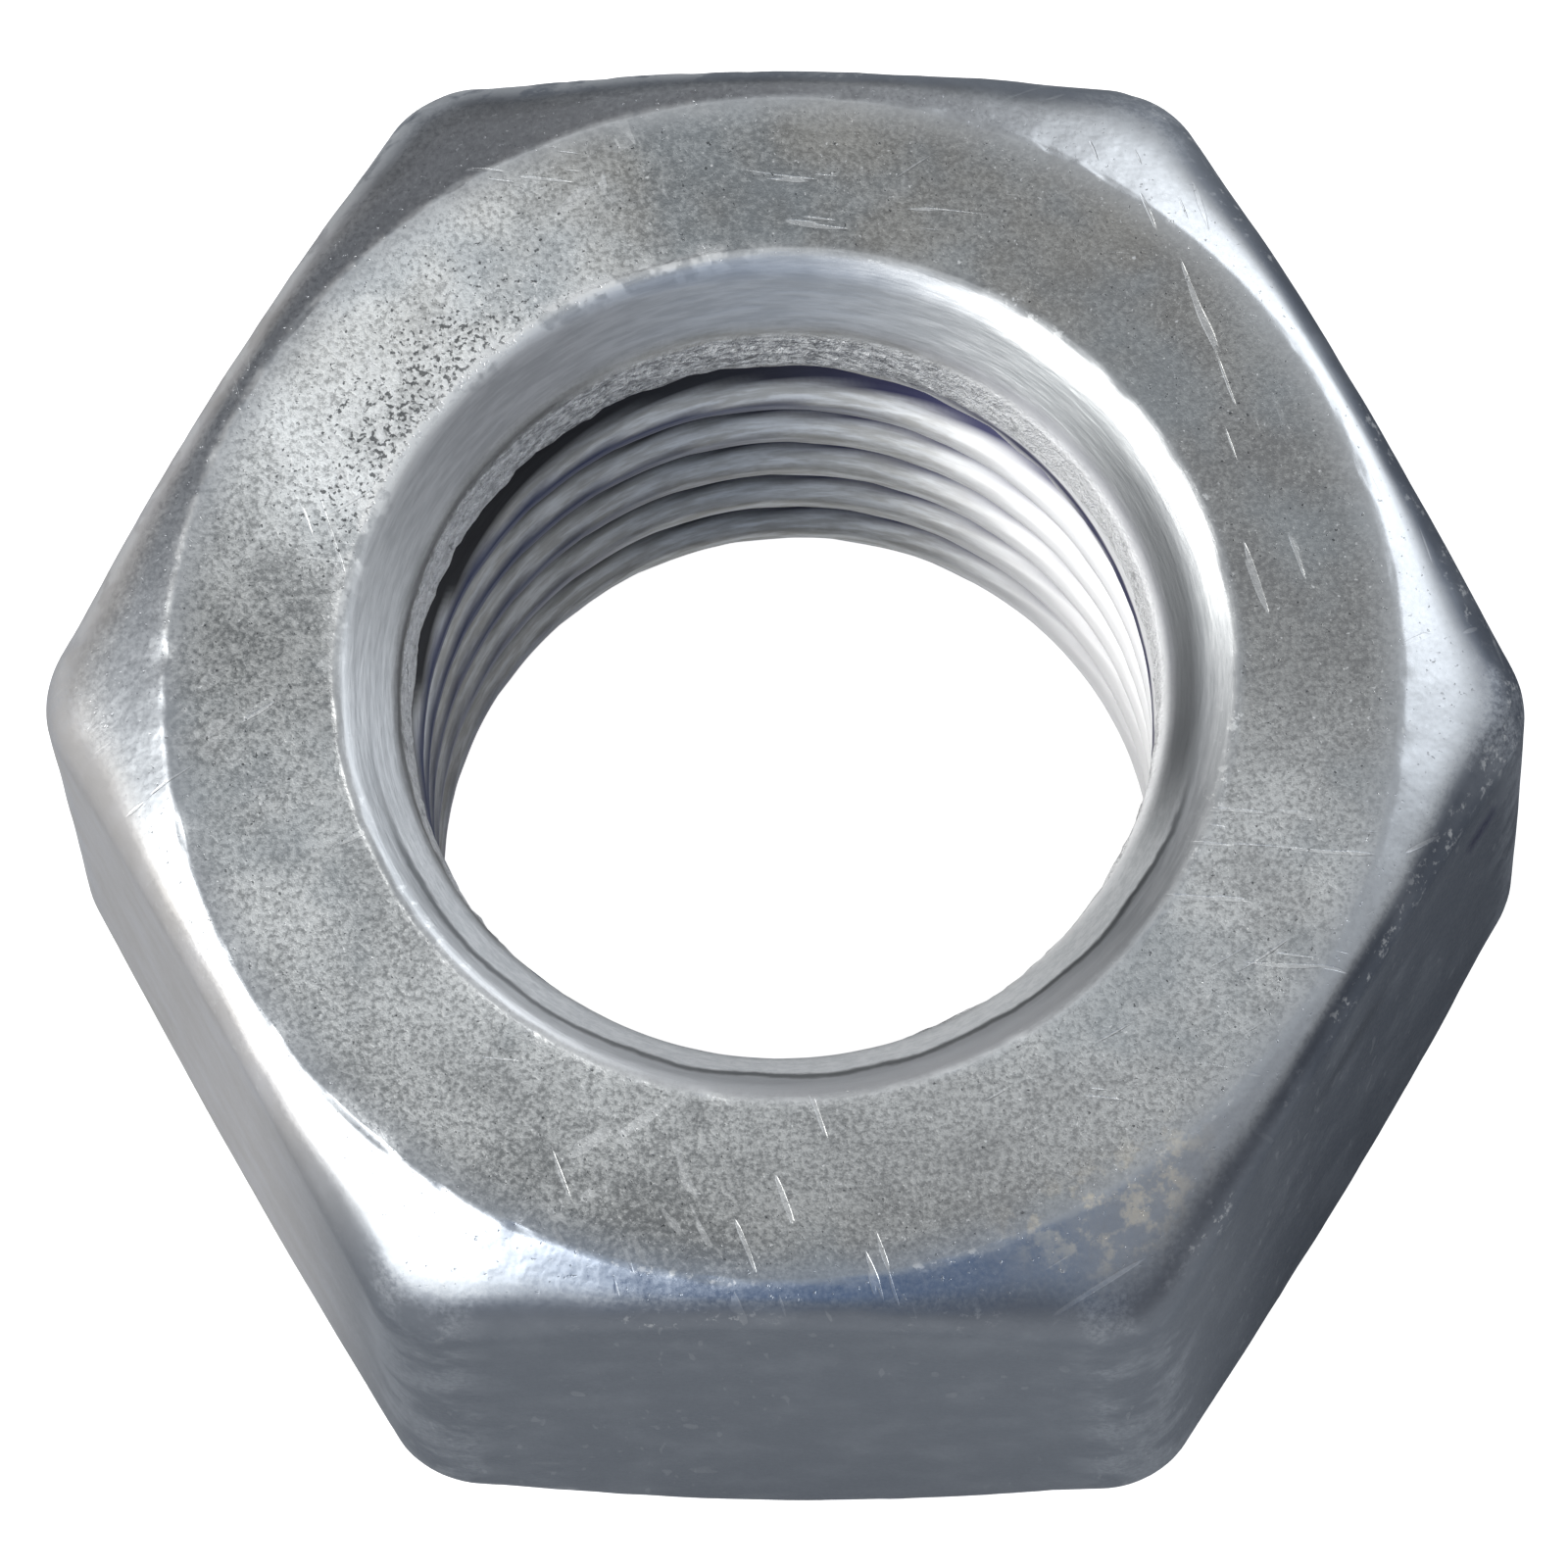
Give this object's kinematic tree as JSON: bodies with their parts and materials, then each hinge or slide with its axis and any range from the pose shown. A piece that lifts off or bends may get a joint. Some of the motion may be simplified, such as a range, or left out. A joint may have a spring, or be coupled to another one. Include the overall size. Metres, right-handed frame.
{
  "type": "hex nut",
  "caption": "Hexagonal nut with an internal screw thread, chamfered corners, flat bearing faces and flats for a wrench.",
  "frame": {"origin": "the thread axis where it meets the lower bearing face", "axes": "+Z along the thread axis, from the lower bearing face to the upper one; two opposite wrench flats face -Y and +Y, and two corners point along -X and +X"},
  "size_m": [0.034, 0.03, 0.018],
  "materials": {
    "zinc_plated_steel": "zinc plated, satin, lightly scratched"
  },
  "bodies": {
    "root": {"hex_nut": "zinc_plated_steel"}
  },
  "joints": []
}
